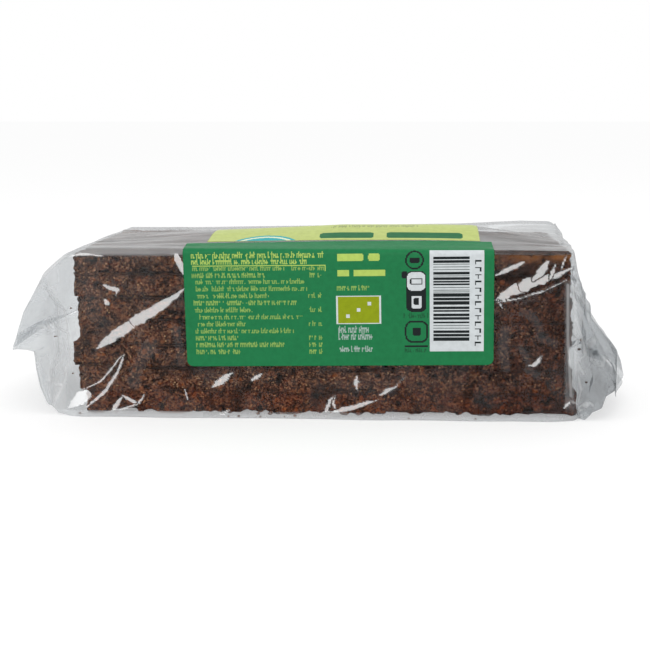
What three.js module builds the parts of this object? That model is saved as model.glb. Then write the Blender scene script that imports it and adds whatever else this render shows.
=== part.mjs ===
// A sliced rye tin loaf in its clear film bag, with two adhesive labels.
// Millimetres, +Z up. The loaf's length runs along X and its front face looks along -Y.
// The origin is at the centre of the pack's outline, on the flat face that it lies on.

import * as THREE from 'three';

// Driving dimensions
const SLICE_LENGTH = 168;         // along X
const SLICE_DEPTH = 68;           // along Y
const SLICE_PITCH = 8.1;          // one slice and the gap above it
const SLICE_CORNER = 3;           // radius of a slice's upright corners
const SLICE_EDGE = 0.9;           // rounding of a slice's upper and lower edges
const GAP = 0.3;                  // clearance between neighbouring pieces
const FILM = 0.4;                 // wall of the bag
const LABEL = 0.3;                // thickness of both labels
const BAG_HALF_DEPTH = 36.2;      // outside of the bag, along Y, at the loaf
const BAG_HEIGHT = 57.8;          // outside of the bag, along Z, at the loaf
const BAG_CORNER = 2.6;           // radius of the bag's long edges

// How each slice lies in the stack, from the bottom: its shift along X, its shift along Y, what its length adds.
const SLICE_LIES = [
  [3.4, 0.4, -0.4], [1.8, -0.5, 0], [0.3, 0.6, 0.4], [1.6, -0.3, -0.2],
  [1.2, 0.2, -0.4], [-0.2, 0.5, 0], [-0.2, -0.1, 0.3],
];

// The bag's outline along X: [x, underside, top, how far the front and back walls fold in, half depth].
// Each end folds in to a flat seal, and the seal's mouth is a thin slit.
const LEFT_END = [
  [-113, 21.0, 23.2, 0, 33.6],
  [-106.5, 21.2, 23.6, 0, 34.0],
  [-104.5, 21.2, 24.6, 0.5, 34.2],
  [-102.5, 20.8, 28.5, 3, 34.4],
  [-100.5, 19.8, 35.0, 6, 34.8],
  [-98.5, 17.0, 40.5, 9, 35.2],
  [-96.5, 12.0, 45.0, 9, 35.6],
  [-94, 5.0, 50.0, 6, 36.0],
  [-91, 1.4, 54.6, 3, BAG_HALF_DEPTH],
  [-88, 0.3, 56.9, 1, BAG_HALF_DEPTH],
];
const RIGHT_END = [
  [88.3, 0, 51.0, 1, BAG_HALF_DEPTH],
  [90, 0.4, 43.5, 4, 36.0],
  [92, 1.8, 36.0, 7, 35.6],
  [94, 4.5, 31.0, 8, 35.0],
  [96.5, 8.2, 28.0, 7, 34.6],
  [99, 11.2, 25.2, 4, 34.3],
  [101.5, 11.8, 21.5, 1.5, 34.0],
  [103.8, 11.2, 17.6, 0.4, 33.8],
  [105.8, 9.8, 13.4, 0, 33.6],
  [107, 8.2, 10.8, 0, 33.5],
];
const BODY_START = -85.5;
const BODY_END = 87;
const BODY_STEPS = 14;

// The stiff top label holds the film up in a low arch between the front and back edges.
const ARCH_CENTRE_Y = -8;
const ARCH_HALF_WIDTH = 30;
const ARCH_LINE = [[-80, 0], [-46, 2.4], [6, 5.2], [52, 5.2], [82, 0.6]];

// Labels: middle along X, width, reach down the front face, reach over the top face, turn about Y in radians.
const FRONT_LABEL = { x: 6.1, width: 103.6, down: 39, over: 9, turn: 0.014 };
const TOP_LABEL = { x: 7.1, width: 93.3, from: 10.2, over: 58 };

function material(colour, roughness, extra = {}) {
  return new THREE.MeshStandardMaterial({ color: colour, roughness, metalness: 0, ...extra });
}

// Linear interpolation in a list of [place, value] pairs, eased between neighbours.
function alongLine(line, x) {
  const last = line.length - 1;
  if (x <= line[0][0]) return line[0][1];
  if (x >= line[last][0]) return line[last][1];
  const i = line.findIndex(([place]) => place > x);
  const [x0, v0] = line[i - 1];
  const [x1, v1] = line[i];
  return THREE.MathUtils.lerp(v0, v1, THREE.MathUtils.smoothstep(x, x0, x1));
}

// How much the top face stands up at (x, y).
function arch(x, y) {
  const across = (y - ARCH_CENTRE_Y) / ARCH_HALF_WIDTH;
  if (Math.abs(across) >= 1) return 0;
  return alongLine(ARCH_LINE, x) * Math.cos((across * Math.PI) / 2) ** 2;
}

function indexed(rings, index) {
  const geometry = new THREE.BufferGeometry();
  geometry.setAttribute('position', new THREE.Float32BufferAttribute(rings.flat(2), 3));
  geometry.setIndex(index);
  geometry.computeVertexNormals();
  return geometry;
}

// Two triangles for each side of a ring, between it and the ring that starts at point number next.
function wall(index, ring, next, size) {
  for (let k = 0; k < size; k += 1) {
    const j = (k + 1) % size;
    index.push(ring + k, next + j, ring + j, ring + k, next + k, next + j);
  }
}

// A closed mesh from rings of points: each ring joins the next, and the last joins the first.
function closedLoop(rings) {
  const size = rings[0].length;
  const index = [];
  rings.forEach((ring, r) => wall(index, r * size, ((r + 1) % rings.length) * size, size));
  return indexed(rings, index);
}

// A closed mesh from a row of rings, with caps across the first ring and the last. Each ring is a strip:
// its first half is one face and its second half runs back along the other.
function closedStrip(rings) {
  const size = rings[0].length;
  const index = [];
  for (let r = 0; r < rings.length - 1; r += 1) {
    wall(index, r * size, (r + 1) * size, size);
  }
  const end = (rings.length - 1) * size;
  for (let a = 0; a < size / 2 - 1; a += 1) {
    const b = a + 1;
    const c = size - 2 - a;
    const d = size - 1 - a;
    index.push(a, b, c, a, c, d);
    index.push(end + a, end + c, end + b, end + a, end + d, end + c);
  }
  return indexed(rings, index);
}

// Half of a bag section, from the middle of the underside up the front (side -1) or the back (side 1).
const FLAT_STEPS = 7;
const CORNER_STEPS = 3;
const WALL_STEPS = 8;

function halfSection(x, under, top, fold, half, corner, side) {
  const points = [];
  const flat = half - corner;
  for (let i = 0; i < FLAT_STEPS; i += 1) {
    points.push([(side * flat * i) / FLAT_STEPS, under]);
  }
  for (let i = 0; i < CORNER_STEPS; i += 1) {
    const angle = ((i / CORNER_STEPS) * Math.PI) / 2;
    points.push([side * (flat + corner * Math.sin(angle)), under + corner * (1 - Math.cos(angle))]);
  }
  for (let i = 0; i <= WALL_STEPS; i += 1) {
    const up = i / WALL_STEPS;
    const inward = fold * Math.sin(up * Math.PI) ** 1.5;
    points.push([side * (half - inward), under + corner + up * (top - under - 2 * corner)]);
  }
  for (let i = CORNER_STEPS - 1; i > 0; i -= 1) {
    const angle = ((i / CORNER_STEPS) * Math.PI) / 2;
    points.push([side * (flat + corner * Math.sin(angle)), top - corner * (1 - Math.cos(angle))]);
  }
  for (let i = FLAT_STEPS; i > 0; i -= 1) {
    points.push([(side * flat * i) / FLAT_STEPS, top]);
  }
  return points.map(([y, z]) => [x, y, z > (under + top) / 2 ? z + arch(x, y) : z]);
}

// One closed section of the bag. The inner skin is the same section, drawn in by the wall.
function section([x, under, top, fold, half], wall) {
  const low = under + wall;
  const high = top - wall;
  const wide = half - wall;
  const corner = Math.min(BAG_CORNER - wall, (high - low) * 0.45);
  const front = halfSection(x, low, high, fold, wide, corner, -1);
  const back = halfSection(x, low, high, fold, wide, corner, 1);
  const closing = [x, 0, high + arch(x, 0)];
  return [...front, closing, ...back.slice(1).reverse()];
}

// The stations from one seal to the other.
function stations() {
  const body = [];
  for (let i = 0; i <= BODY_STEPS; i += 1) {
    const x = THREE.MathUtils.lerp(BODY_START, BODY_END, i / BODY_STEPS);
    body.push([x, 0, BAG_HEIGHT, 0, BAG_HALF_DEPTH]);
  }
  return [...LEFT_END, ...body, ...RIGHT_END];
}

// The bag: an outer skin from left to right and an inner skin back again, joined at the two mouths.
function filmWrap() {
  const list = stations();
  const last = list.length - 1;
  const outer = list.map((station) => section(station, 0));
  const inner = list.map((station, i) => {
    const [x, ...rest] = station;
    const mouth = i === 0 || i === last;
    const sloped = x < BODY_START || x > BODY_END;
    const pull = mouth || !sloped ? 0 : FILM * Math.sign(-x);
    return section([x + pull, ...rest], FILM);
  });
  return closedLoop([...outer, ...inner.reverse()]);
}

// One slice: a rounded rectangle with rounded edges.
function slice(length, depth, thickness) {
  const x = length / 2 - SLICE_EDGE;
  const y = depth / 2 - SLICE_EDGE;
  const r = SLICE_CORNER;
  const outline = new THREE.Shape();
  outline.moveTo(-x + r, -y);
  outline.lineTo(x - r, -y);
  outline.absarc(x - r, -y + r, r, -Math.PI / 2, 0);
  outline.lineTo(x, y - r);
  outline.absarc(x - r, y - r, r, 0, Math.PI / 2);
  outline.lineTo(-x + r, y);
  outline.absarc(-x + r, y - r, r, Math.PI / 2, Math.PI);
  outline.lineTo(-x, -y + r);
  outline.absarc(-x + r, -y + r, r, Math.PI, Math.PI * 1.5);
  const geometry = new THREE.ExtrudeGeometry(outline, {
    depth: thickness - 2 * SLICE_EDGE,
    bevelEnabled: true,
    bevelThickness: SLICE_EDGE,
    bevelSize: SLICE_EDGE,
    bevelSegments: 2,
    curveSegments: 3,
  });
  geometry.translate(0, 0, SLICE_EDGE);
  return geometry;
}

// A point on the bag beside the loaf, s millimetres from its front top edge: s < 0 is down the front face,
// s > 0 is over the top face. lift is measured outward from the film.
function onBag(x, s, lift) {
  const arc = (BAG_CORNER * Math.PI) / 2;
  const radius = BAG_CORNER + lift;
  const centreY = -BAG_HALF_DEPTH + BAG_CORNER;
  const centreZ = BAG_HEIGHT - BAG_CORNER;
  let y = -BAG_HALF_DEPTH - lift;
  let z = centreZ + s + arc / 2;
  if (s > arc / 2) {
    y = centreY + s - arc / 2;
    z = BAG_HEIGHT + lift;
  } else if (s > -arc / 2) {
    const angle = (s + arc / 2) / BAG_CORNER;
    y = centreY - radius * Math.cos(angle);
    z = centreZ + radius * Math.sin(angle);
  }
  return [x, y, z + (s > 0 ? arch(x, y) : 0)];
}

// A label stuck to the bag: a sheet with straight sides, from s = low to s = high, turned by a small angle.
// Its rows are close together where it bends over the bag's edge.
const LABEL_COLUMNS = 16;
const LABEL_ROW = 3.6;
const EDGE_ROW = 0.8;
const EDGE_REACH = 3.6;

function steps(start, end, step) {
  if (end <= start) return [];
  const count = Math.ceil((end - start) / step);
  return Array.from({ length: count }, (_, i) => start + ((end - start) * i) / count);
}

function label(middle, width, low, high, turn) {
  const rows = [
    ...steps(low, Math.max(low, -EDGE_REACH), LABEL_ROW),
    ...steps(Math.max(low, -EDGE_REACH), Math.min(high, EDGE_REACH), EDGE_ROW),
    ...steps(Math.max(low, Math.min(high, EDGE_REACH)), high, LABEL_ROW),
    high,
  ];
  const pivot = (low + high) / 2;
  const rings = rows.map((s) => {
    const skin = (lift) => Array.from({ length: LABEL_COLUMNS + 1 }, (_, i) => {
      const across = (i / LABEL_COLUMNS - 0.5) * width;
      return onBag(middle + across - (s - pivot) * turn, s + across * turn, lift);
    });
    return [...skin(GAP), ...skin(GAP + LABEL).reverse()];
  });
  return closedStrip(rings);
}

function named(name, geometry, look) {
  const mesh = new THREE.Mesh(geometry, look);
  mesh.name = name;
  return mesh;
}

const pack = new THREE.Group();

const rye = material(0x4a2f24, 0.9);
SLICE_LIES.forEach(([shiftX, shiftY, longer], i) => {
  const mesh = named(`slice_${i + 1}`, slice(SLICE_LENGTH + longer, SLICE_DEPTH, SLICE_PITCH - GAP), rye);
  mesh.position.set(shiftX, shiftY, FILM + GAP + i * SLICE_PITCH);
  pack.add(mesh);
});

pack.add(named('film_wrap', filmWrap(), material(0xdfe4e8, 0.08, { transparent: true, opacity: 0.35 })));

const { x: frontX, width: frontWidth, down, over, turn } = FRONT_LABEL;
pack.add(named('label_front', label(frontX, frontWidth, -down, over, turn), material(0x30824f, 0.4)));

const { x: topX, width: topWidth, from, over: topOver } = TOP_LABEL;
pack.add(named('label_top', label(topX, topWidth, from, topOver, 0), material(0xcdd773, 0.4)));

// The whole pack moves so that the origin is under its middle.
const box = new THREE.Box3().setFromObject(pack, true);
pack.position.set(-(box.min.x + box.max.x) / 2, -(box.min.y + box.max.y) / 2, -box.min.z);

export default pack;
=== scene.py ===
import itertools
import math
from types import SimpleNamespace

import bpy
import numpy as np
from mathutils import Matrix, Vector


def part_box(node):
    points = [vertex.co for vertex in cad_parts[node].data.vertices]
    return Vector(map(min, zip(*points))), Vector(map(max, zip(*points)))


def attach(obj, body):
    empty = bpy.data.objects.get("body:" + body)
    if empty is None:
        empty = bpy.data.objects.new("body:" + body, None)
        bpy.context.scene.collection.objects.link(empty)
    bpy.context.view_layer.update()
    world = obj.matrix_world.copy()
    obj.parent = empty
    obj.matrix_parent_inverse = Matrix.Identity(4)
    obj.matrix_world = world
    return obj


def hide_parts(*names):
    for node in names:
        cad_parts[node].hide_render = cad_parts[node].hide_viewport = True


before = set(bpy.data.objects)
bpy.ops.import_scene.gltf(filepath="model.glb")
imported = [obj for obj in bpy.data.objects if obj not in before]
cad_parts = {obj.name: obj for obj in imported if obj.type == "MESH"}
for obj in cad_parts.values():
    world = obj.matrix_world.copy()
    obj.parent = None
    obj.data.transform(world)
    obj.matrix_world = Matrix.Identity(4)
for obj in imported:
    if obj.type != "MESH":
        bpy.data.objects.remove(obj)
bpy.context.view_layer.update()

# Lengths below are millimetres from ORIGIN: the loaf's middle is x = 0, y = 0, and the floor is z = 0.
MM = 0.001
FILM_LOW = np.array(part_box("film_wrap")[0]) / MM
BAG_LEFT = -113.0          # local x of the film's left end in the CAD
CAD_HALF_DEPTH = 36.2      # outside of the CAD bag, along y, at the loaf
ORIGIN = np.array([FILM_LOW[0] - BAG_LEFT, FILM_LOW[1] + CAD_HALF_DEPTH, FILM_LOW[2]])
BAG_HALF_DEPTH = 36.0      # the film, along y, at the loaf
BAG_HEIGHT = 57.8          # the film, at the loaf's top
BAG_CORNER = 1.4           # radius of the film's long edges
SLICES = 7


# ---- noise
def hashed(ix, iy, iz, seed):
    """A number in 0..1 for each whole-number cell."""
    h = (ix * 73856093) ^ (iy * 19349663) ^ (iz * 83492791) ^ (seed * 2654435761)
    h = (h ^ (h >> 13)) * 1274126177
    h &= 0x7FFFFFFF
    h = (h ^ (h >> 15)) * 668265263
    h &= 0x7FFFFFFF
    return ((h ^ (h >> 11)) & 0xFFFFFF) / float(0xFFFFFF)


def value_noise(p, seed):
    """Smooth noise in -1..1 at points p, one cell per unit."""
    cell = np.floor(p).astype(np.int64)
    f = p - cell
    f = f * f * f * (f * (f * 6 - 15) + 10)
    total = 0.0
    for corner in itertools.product((0, 1), repeat=3):
        near = np.where(corner, f, 1 - f)
        total = total + near[:, 0] * near[:, 1] * near[:, 2] * hashed(*(cell + corner).T, seed)
    return total * 2 - 1


def fbm(p, seed, octaves=3):
    """Noise with finer and fainter layers on top of one another, in -1..1."""
    total, weight, size = 0.0, 1.0, 0.0
    for i in range(octaves):
        total = total + weight * value_noise(p * 2**i + 17.3 * i, seed + i)
        size += weight
        weight *= 0.5
    return total / size


def plane_noise(x, y, lengths, seed, octaves):
    """Noise over two grids of millimetres, with its own length along each."""
    flat = np.column_stack([x.ravel() / lengths[0], y.ravel() / lengths[1], np.zeros(x.size)])
    return fbm(flat, seed, octaves).reshape(x.shape)


def cells(p, seed):
    """Distance to the nearest of some scattered points, one per unit cell, and its number in 0..1."""
    base = np.floor(p).astype(np.int64)
    best = np.full(len(p), 9.0)
    own = np.zeros(len(p))
    for step in itertools.product((-1, 0, 1), repeat=3):
        cell = base + step
        point = cell + np.stack([hashed(*cell.T, seed + k) for k in range(3)], 1)
        d = np.linalg.norm(p - point, axis=1)
        own = np.where(d < best, hashed(*cell.T, seed + 7), own)
        best = np.minimum(d, best)
    return best, own


def smoothstep(a, b, x):
    """From 0 to 1, smoothly, as x goes from a to b."""
    t = np.clip((x - a) / (b - a), 0, 1)
    return t * t * (3 - 2 * t)


def triangle_wave(t):
    """Straight up and down between -1 and 1, once per unit."""
    return 4 * np.abs(t - np.floor(t + 0.5)) - 1


# ---- meshes
def make_piece(name, points, faces, material, attributes=()):
    """A smooth mesh object from local millimetre points and faces, with float attributes on its points."""
    mesh = bpy.data.meshes.new(name)
    places = (np.asarray(points) + ORIGIN) * MM
    mesh.vertices.add(len(places))
    mesh.vertices.foreach_set("co", places.astype(np.float32).ravel())
    corners = np.concatenate(faces)
    mesh.loops.add(len(corners))
    mesh.loops.foreach_set("vertex_index", corners.astype(np.int32))
    counts = np.array([len(face) for face in faces])
    starts = np.concatenate([[0], np.cumsum(counts)[:-1]])
    mesh.polygons.add(len(counts))
    mesh.polygons.foreach_set("loop_start", starts.astype(np.int32))
    mesh.update(calc_edges=True)
    mesh.validate()
    mesh.polygons.foreach_set("use_smooth", np.ones(len(mesh.polygons), bool))
    for label, values in attributes:
        layer = mesh.attributes.new(label, "FLOAT", "POINT")
        layer.data.foreach_set("value", np.asarray(values, np.float32).ravel())
    piece = bpy.data.objects.new(name, mesh)
    bpy.context.collection.objects.link(piece)
    mesh.materials.append(material)
    return piece


def grid_quads(rows, columns, wrap):
    """Faces of a grid of points stored row by row. With wrap, the last column joins the first."""
    here = np.arange(rows - 1)[:, None] * columns
    above = here + columns
    c = np.arange(columns if wrap else columns - 1)[None, :]
    n = (c + 1) % columns
    return np.stack([here + c, here + n, above + n, above + c], -1).reshape(-1, 4)


# ---- materials
class Nodes:
    """One material, and short calls for building its node tree."""

    def __init__(self, name):
        self.material = bpy.data.materials.new(name)
        self.material.use_nodes = True
        self.tree = self.material.node_tree
        self.tree.nodes.clear()
        self.surface = self.add("OutputMaterial").inputs["Surface"]

    def add(self, kind, **settings):
        node = self.tree.nodes.new("ShaderNode" + kind)
        for key, value in settings.items():
            setattr(node, key, value)
        return node

    def put(self, socket, value):
        """Link a socket to another node's output, or set its constant."""
        if isinstance(value, bpy.types.NodeSocket):
            self.tree.links.new(value, socket)
        elif socket.type == "RGBA":
            socket.default_value = (*value, 1.0)
        else:
            socket.default_value = value

    def node(self, kind, inputs, **settings):
        """A node with its inputs given by name or number."""
        node = self.add(kind, **settings)
        for key, value in inputs.items():
            self.put(node.inputs[key], value)
        return node

    def math(self, op, a, b):
        return self.node("Math", {0: a, 1: b}, operation=op).outputs[0]

    def mix(self, amount, a, b, blend="MIX"):
        inputs = {0: amount, 6: a, 7: b}
        return self.node("Mix", inputs, data_type="RGBA", blend_type=blend).outputs[2]

    def ramp(self, value, start, stop, low=0.0, high=1.0):
        """From low to high, smoothly, as the value goes from start to stop."""
        inputs = {0: value, 1: start, 2: stop, 3: low, 4: high}
        return self.node("MapRange", inputs, interpolation_type="SMOOTHSTEP").outputs[0]

    def vector(self, op, a, inputs):
        return self.node("VectorMath", {0: a, **inputs}, operation=op).outputs[0]

    def coords(self):
        """The object's own coordinates, in millimetres."""
        place = self.add("TexCoord").outputs["Object"]
        return self.vector("SCALE", place, {"Scale": 1 / MM})

    def noise(self, where, scale, detail=2.0, rough=0.5, distort=0.0, out="Fac"):
        inputs = {"Vector": where, "Scale": scale, "Detail": detail, "Roughness": rough}
        return self.node("TexNoise", {**inputs, "Distortion": distort}).outputs[out]

    def attribute(self, name, out="Fac"):
        return self.add("Attribute", attribute_name=name).outputs[out]

    def bump(self, height, strength, distance):
        inputs = {"Height": height, "Strength": strength, "Distance": distance}
        return self.node("Bump", inputs).outputs[0]

    def shader(self, kind, **inputs):
        """A shader, its inputs' names written with _ for a space."""
        named = {key.replace("_", " "): value for key, value in inputs.items()}
        return self.node(kind, named).outputs[0]

    def blend(self, amount, first, second):
        return self.node("MixShader", {0: amount, 1: first, 2: second}).outputs[0]


# The rye crumb's colours: two ground tones, the patches and grains on them, shades, crust, and painted shade
# for its hollows and the gaps between its grains.
RYE_GROUND = (0.070, 0.024, 0.013)
RYE_GROUND_LIGHT = (0.108, 0.046, 0.028)
RYE_GREY = (0.066, 0.044, 0.039)
RYE_RED = (0.130, 0.026, 0.009)
RYE_TAN = (0.175, 0.078, 0.036)
GRAIN_GREY = (0.075, 0.052, 0.046)
GRAIN_RUST = (0.135, 0.036, 0.015)
GRAIN_DARK = (0.030, 0.013, 0.009)
GRAIN_BROWN = (0.185, 0.052, 0.018)
CHIP_DARK = (0.016, 0.007, 0.005)
CHIP_LIGHT = (0.330, 0.140, 0.068)
BLOTCH = (0.020, 0.009, 0.006)
# Painted shade in the gaps between grains, where the bump sinks.
GAP_SHADE = (0.012, 0.006, 0.005)
SEED_FLECK = (0.55, 0.31, 0.15)
EMBER_FLECK = (0.34, 0.090, 0.020)
DUST_LIGHT = (0.30, 0.125, 0.062)
SPECK_LIGHT = (0.36, 0.165, 0.095)
SPECK_DARK = (0.012, 0.006, 0.004)
DUST_DARK = (0.010, 0.005, 0.004)
CLOUD = (0.020, 0.008, 0.005)
RIGHT_SHADE = (0.56, 0.48, 0.47)
FOOT_SHADE = (1.0, 0.78, 0.66)
CRUST = (0.40, 0.145, 0.036)
# Painted shade: the colour put in the crumb's holes, between its grains, on its worn rims and along the seams
# between slices.
HOLLOW_SHADE = (0.008, 0.004, 0.003)


def rye_material():
    n = Nodes("rye_crumb")
    at = n.coords()
    jitter = n.noise(at, 0.8, out="Color")
    bent = n.vector("ADD", at, {1: n.vector("SCALE", jitter, {"Scale": 0.45})})

    def grains(scale):
        """Two numbers for each grain, and the distance from its middle."""
        grain = n.node("TexVoronoi", {"Vector": bent, "Scale": scale})
        parts = n.node("SeparateColor", {0: grain.outputs["Color"]}).outputs
        return parts[0], parts[1], grain.outputs["Distance"]

    def lump(offset, scale):
        return n.noise(n.vector("ADD", at, {1: (offset, offset, offset)}), scale, 2.0, 0.55)

    def between(value, start, stop, amount):
        return n.ramp(value, start, stop, 0.0, amount)

    patches = n.noise(at, 0.055, 3.0, 0.6)
    blotch = n.noise(at, 0.22, 4.0, 0.6)
    cloud = n.noise(at, 0.09, 3.0, 0.6)
    fine = n.noise(at, 2.1, 4.0, 0.75)
    tone, kind, near = grains(0.62)
    chip_tone, chip_kind, chip_near = grains(1.45)
    speck_tone, _, _ = grains(2.7)
    fleck = n.math("MULTIPLY", n.ramp(chip_kind, 0.90, 0.94), n.ramp(chip_near, 0.55, 0.35))
    ember = n.math("MULTIPLY", n.ramp(kind, 0.90, 0.94), n.ramp(near, 0.6, 0.4))
    colour = n.mix(n.ramp(patches, 0.40, 0.62), RYE_GROUND, RYE_GROUND_LIGHT)
    layers = [
        (between(lump(31.0, 0.28), 0.52, 0.62, 0.65), RYE_GREY),
        (between(lump(77.0, 0.33), 0.50, 0.58, 0.85), RYE_RED),
        (between(lump(113.0, 0.30), 0.56, 0.66, 0.75), RYE_TAN),
        (between(kind, 0.45, 0.15, 0.5), GRAIN_GREY),
        (between(kind, 0.60, 0.85, 0.5), GRAIN_RUST),
        (between(tone, 0.5, 0.0, 0.60), GRAIN_DARK),
        (between(tone, 0.70, 1.0, 0.6), GRAIN_BROWN),
        (between(chip_tone, 0.45, 0.0, 0.72), CHIP_DARK),
        (between(chip_tone, 0.62, 0.95, 0.68), CHIP_LIGHT),
        (between(blotch, 0.50, 0.60, 0.85), BLOTCH),
        # painted shade in the gaps between grains
        (between(near, 0.55, 0.95, 0.6), GAP_SHADE),
        (n.math("MULTIPLY", fleck, 0.85), SEED_FLECK),
        (n.math("MULTIPLY", ember, 0.6), EMBER_FLECK),
        (between(fine, 0.56, 0.70, 0.3), DUST_LIGHT),
        (between(speck_tone, 0.74, 0.90, 0.62), SPECK_LIGHT),
        (between(speck_tone, 0.26, 0.12, 0.50), SPECK_DARK),
        (between(fine, 0.46, 0.34, 0.45), DUST_DARK),
        (between(cloud, 0.52, 0.64, 0.55), CLOUD),
    ]
    for amount, tint in layers:
        colour = n.mix(amount, colour, tint)
    along_x, _, height = n.node("SeparateXYZ", {0: at}).outputs
    colour = n.mix(n.ramp(along_x, 10.0, 80.0), colour, RIGHT_SHADE, "MULTIPLY")
    colour = n.mix(n.ramp(height, 12.0, 7.0), colour, FOOT_SHADE, "MULTIPLY")
    colour = n.mix(n.attribute("crust"), colour, CRUST)
    # Painted shade in the hollows, between grains, on worn rims and along the slice seams, from the mesh's
    # hollow shade attribute.
    colour = n.mix(n.attribute("hollow_shade"), colour, HOLLOW_SHADE)
    relief = n.math("ADD", n.math("MULTIPLY", tone, 0.6), n.math("MULTIPLY", fine, 0.35))
    relief = n.math("SUBTRACT", relief, n.math("MULTIPLY", near, 0.7))
    relief = n.math("ADD", relief, n.math("MULTIPLY", chip_tone, 0.35))
    skin = n.shader(
        "BsdfPrincipled", Base_Color=colour, Roughness=0.6, Specular_IOR_Level=0.015,
        Normal=n.bump(relief, 0.7, 0.0007),
    )
    n.put(n.surface, skin)
    return n.material


FILM_MIRROR = 0.011        # how much the film reflects when seen straight on
FILM_GRAZING = 0.60        # and how much more when seen edge on
FILM_SHINE = 0.21          # how much a stretched facet mirrors
FILM_ROUGHNESS = 0.05
FILM_SMEAR = 0.075         # the most that a faint uneven smear scatters
FILM_CLEAR = (0.88, 0.89, 0.895)       # what passes through one layer, and through several
# The thicker colour also gives painted shade at the right end and on the slack lip.
FILM_THICK = (0.70, 0.72, 0.735)
FILM_MILKY = (0.47, 0.485, 0.495)      # what the scattering part looks like
FILM_PALE = (0.90, 0.915, 0.925)


def film_material():
    n = Nodes("clear_film")
    at = n.coords()
    # Several layers, and painted shade at the right end and on the lip.
    passing = n.mix(n.attribute("ply_and_shade"), FILM_CLEAR, FILM_THICK)
    clear = n.shader("BsdfTransparent", Color=passing)
    milk = n.mix(n.attribute("pale"), FILM_MILKY, FILM_PALE)
    near_side = n.shader("BsdfDiffuse", Color=milk)
    far_side = n.shader("BsdfTranslucent", Color=milk)
    smear = n.ramp(n.noise(at, 0.06, 4.0, 0.6, 1.2), 0.38, 0.66, 0.0, FILM_SMEAR)
    haze = n.math("ADD", n.attribute("haze"), smear)
    veil = n.blend(haze, clear, n.blend(0.5, near_side, far_side))
    facets = n.bump(n.attribute("glint"), 1.0, 0.001)
    gloss = n.shader("BsdfGlossy", Roughness=FILM_ROUGHNESS, Normal=facets)
    facing = n.node("LayerWeight", {"Blend": 0.5}).outputs["Facing"]
    edge_on = n.math("POWER", facing, 5.0)
    mirror = n.math("ADD", n.math("MULTIPLY", edge_on, FILM_GRAZING), FILM_MIRROR)
    mirror = n.math("ADD", mirror, n.math("MULTIPLY", n.attribute("shine"), FILM_SHINE))
    n.put(n.surface, n.blend(mirror, veil, gloss))
    return n.material


def label_material(name):
    """A printed label: its inks are the mesh's colours, broken up a little by the paper."""
    n = Nodes(name)
    at = n.coords()
    shade = n.ramp(n.noise(at, 0.5, 4.0, 0.6), 0.3, 0.7, 0.93, 1.05)
    colour = n.mix(1.0, n.attribute("ink", "Color"), shade, "MULTIPLY")
    paper = n.shader(
        "BsdfPrincipled", Base_Color=colour, Roughness=0.4, Specular_IOR_Level=0.07,
        Normal=n.bump(n.noise(at, 0.25, 3.0), 0.3, 0.0005),
    )
    n.put(n.surface, paper)
    return n.material


# ---- bread
LOAF_HALF_DEPTH = 34.2
SLICE_CORNER = 3.4         # radius of a slice's upright corners
SLICE_SPACING = 0.45       # between the points round a slice
SLICE_SWELL = 0.15         # each slice's flat faces stand this far out of the CAD solid, closing the cut
# How much further left each slice comes than its CAD solid, from the lowest up.
LEFT_REACH = (1.8, 2.1, 2.2, 1.5, 1.1, 0.7, 0.0)


def rounded_outline(length, depth, radius, spacing):
    """Points and outward directions round a rounded rectangle, counter-clockwise from its front left."""

    def shares(leg):
        count = max(3, round(leg / spacing))
        return np.arange(count) / count

    quarter = math.pi / 2
    halves = (length / 2 - radius, depth / 2 - radius)
    points = []
    for side in range(4):
        half, out = halves[side % 2], halves[1 - side % 2]
        turn = side * quarter
        spin = np.array([[math.cos(turn), -math.sin(turn)], [math.sin(turn), math.cos(turn)]])
        places = [(half * (2 * t - 1), -quarter) for t in shares(2 * half)]
        places += [(half, (t - 1) * quarter) for t in shares(radius * quarter)]
        for x, angle in places:
            away = spin @ (math.cos(angle), math.sin(angle))
            points.append([*(spin @ (x, -out) + radius * away), *away])
    return np.array(points)


def slice_profile(thickness, fine_top):
    """Rings from the middle of the underside to that of the top: inset, height, and direction in degrees."""
    edge = [(0.9, 0.0, -90), (0.3, 0.01, -70), (0.06, 0.05, -45), (0.0, 0.25, -15)]
    coarse = [33.85, 20.0, 9.0, 4.5, 2.2]
    over_top = list(np.arange(1.4, 33.6, 0.8)) + coarse[:1] if fine_top else coarse[::-1]
    rows = [(inset, 0.0, -90) for inset in coarse] + edge
    rows += [(0.0, z, 0) for z in np.linspace(0.85, thickness - 0.85, 14)]
    rows += [(inset, thickness - z, -angle) for inset, z, angle in reversed(edge)]
    rows += [(inset, thickness, 90) for inset in over_top]
    return rows


def slice_skin(low, high, fine_top):
    """A slice's smooth skin: points, outward directions, how level it is, the inset, and points in a ring."""
    length, depth, thickness = high - low
    outline = rounded_outline(length, depth, SLICE_CORNER, SLICE_SPACING)
    ring, away = outline[:, :2], outline[:, 2:]
    same = np.ones(len(ring))
    points, ways, level, inset = [], [], [], []
    for back, z, angle in slice_profile(thickness, fine_top):
        shrink = (1 - back / (length / 2), 1 - back / (depth / 2))
        tilt = math.radians(angle)
        points.append(np.column_stack([ring * shrink, same * z]))
        ways.append(np.column_stack([away * math.cos(tilt), same * math.sin(tilt)]))
        level.append(same * abs(angle) / 90)
        inset.append(same * back)
    middle = (low + high) / 2
    points = np.concatenate(points) + (middle[0], middle[1], low[2])
    return points, np.concatenate(ways), np.concatenate(level), np.concatenate(inset), len(ring)


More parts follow.
